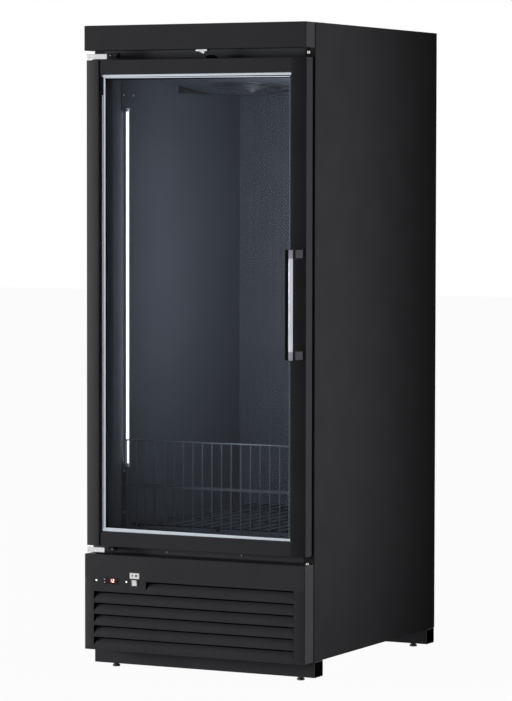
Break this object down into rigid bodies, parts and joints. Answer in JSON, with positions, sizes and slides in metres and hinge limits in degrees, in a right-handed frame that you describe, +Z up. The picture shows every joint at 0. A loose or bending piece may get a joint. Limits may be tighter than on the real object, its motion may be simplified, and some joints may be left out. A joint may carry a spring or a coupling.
{
  "type": "ice merchandiser freezer",
  "caption": "Upright freezer for bagged ice, with a hinged double-glazed door, wire fence, lit cabin, refrigeration unit behind a louvred grille, and levelling feet.",
  "frame": {"origin": "on the floor, under the middle of the bounding box", "axes": "+Z up, +X to the right as seen from the front, +Y from the door to the back"},
  "size_m": [0.762, 1.033, 1.994],
  "materials": {
    "black_paint": "satin",
    "liner_paint": "satin",
    "black_plastic": "matte",
    "galvanised_steel": "satin",
    "zinc_plate": "satin",
    "satin_aluminium": "satin",
    "foam": "matte",
    "rubber": "matte",
    "white_plastic": "satin",
    "glass": "gloss",
    "lamp_tube": "satin"
  },
  "bodies": {
    "cabinet": {"back_panel": "black_paint", "bottom_hinge_bracket": "zinc_plate", "cabin_base_panel": "galvanised_steel", "compressor": "black_paint", "condensate_pan": "black_plastic", "condenser_coil": "satin_aluminium", "condenser_fan_shroud": "galvanised_steel", "evaporator_coil": "satin_aluminium", "evaporator_cover": "liner_paint", "evaporator_fan_guard": "zinc_plate", "face_frame_bottom": "black_plastic", "face_frame_left": "black_plastic", "face_frame_right": "black_plastic", "face_frame_top": "black_plastic", "floor_rack": "black_paint", "front_base_rail": "black_paint", "front_grille": "black_paint", "header_fascia": "black_paint", "insulation_foam": "foam", "left_light_strip": "lamp_tube", "left_side_panel": "black_paint", "liner_back": "liner_paint", "liner_ceiling": "liner_paint", "liner_floor": "liner_paint", "liner_left": "liner_paint", "liner_right": "liner_paint", "lock_housing": "zinc_plate", "machine_tray": "galvanised_steel", "power_cord_gland": "black_plastic", "power_switch_housing": "black_plastic", "rear_base_rail": "black_paint", "rear_machine_cover": "galvanised_steel", "right_light_strip": "lamp_tube", "right_side_panel": "black_paint", "temperature_controller": "black_plastic", "top_hinge_bracket": "zinc_plate", "top_panel": "black_paint", "wire_fence": "black_paint"},
    "door": {"door_left_stile": "black_paint", "door_right_stile": "black_paint", "door_top_rail": "black_paint", "door_bottom_rail": "black_paint", "outer_glass": "glass", "inner_glass": "glass", "glass_spacer": "satin_aluminium", "door_gasket": "rubber", "handle_bar": "satin_aluminium", "handle_lower_foot": "black_paint", "handle_upper_foot": "black_paint", "lock_catch": "rubber"},
    "evaporator_fan": {"evaporator_fan_blade": "black_plastic"},
    "condenser_fan": {"condenser_fan_blade": "black_plastic"},
    "power_switch": {"power_switch_rocker": "white_plastic"},
    "key_down": {"controller_key_down": "black_plastic"},
    "key_up": {"controller_key_up": "black_plastic"},
    "lock": {"lock_bolt": "white_plastic"},
    "front_left_leveller": {"front_left_foot": "zinc_plate"},
    "front_right_leveller": {"front_right_foot": "zinc_plate"},
    "rear_left_leveller": {"rear_left_foot": "zinc_plate"},
    "rear_right_leveller": {"rear_right_foot": "zinc_plate"}
  },
  "joints": [
    {"name": "door_hinge", "type": "hinge", "parent": "cabinet", "child": "door", "pos_m": [-0.36, -0.4255, 1.137], "axis": [0, 0, -1], "range_deg": [0, 110], "stiffness_Nm_per_rad": 1.5, "springref_deg": -5.73},
    {"name": "evaporator_fan_spin", "type": "hinge", "parent": "cabinet", "child": "evaporator_fan", "pos_m": [-0.066, 0.0745, 1.81808], "axis": [0, 0.0999, 0.995], "continuous": true},
    {"name": "condenser_fan_spin", "type": "hinge", "parent": "cabinet", "child": "condenser_fan", "pos_m": [0.09, -0.1355, 0.214], "axis": [0, 1, 0], "continuous": true},
    {"name": "power_switch_rock", "type": "hinge", "parent": "cabinet", "child": "power_switch", "pos_m": [-0.2045, -0.448, 0.278], "axis": [-1, 0, 0], "range_deg": [0, 16]},
    {"name": "key_down_press", "type": "slide", "parent": "cabinet", "child": "key_down", "axis": [0, 1, 0], "range_m": [0, 0.001], "stiffness_N_per_m": 400, "springref_m": -0.0005},
    {"name": "key_up_press", "type": "slide", "parent": "cabinet", "child": "key_up", "axis": [0, 1, 0], "range_m": [0, 0.001], "stiffness_N_per_m": 400, "springref_m": -0.0005},
    {"name": "lock_bolt_slide", "type": "slide", "parent": "cabinet", "child": "lock", "axis": [0, 0, -1], "range_m": [0, 0.01]},
    {"name": "front_left_foot_screw", "type": "slide", "parent": "cabinet", "child": "front_left_leveller", "axis": [0, 0, -1], "range_m": [0, 0.025]},
    {"name": "front_right_foot_screw", "type": "slide", "parent": "cabinet", "child": "front_right_leveller", "axis": [0, 0, -1], "range_m": [0, 0.025]},
    {"name": "rear_left_foot_screw", "type": "slide", "parent": "cabinet", "child": "rear_left_leveller", "axis": [0, 0, -1], "range_m": [0, 0.025]},
    {"name": "rear_right_foot_screw", "type": "slide", "parent": "cabinet", "child": "rear_right_leveller", "axis": [0, 0, -1], "range_m": [0, 0.025]}
  ]
}
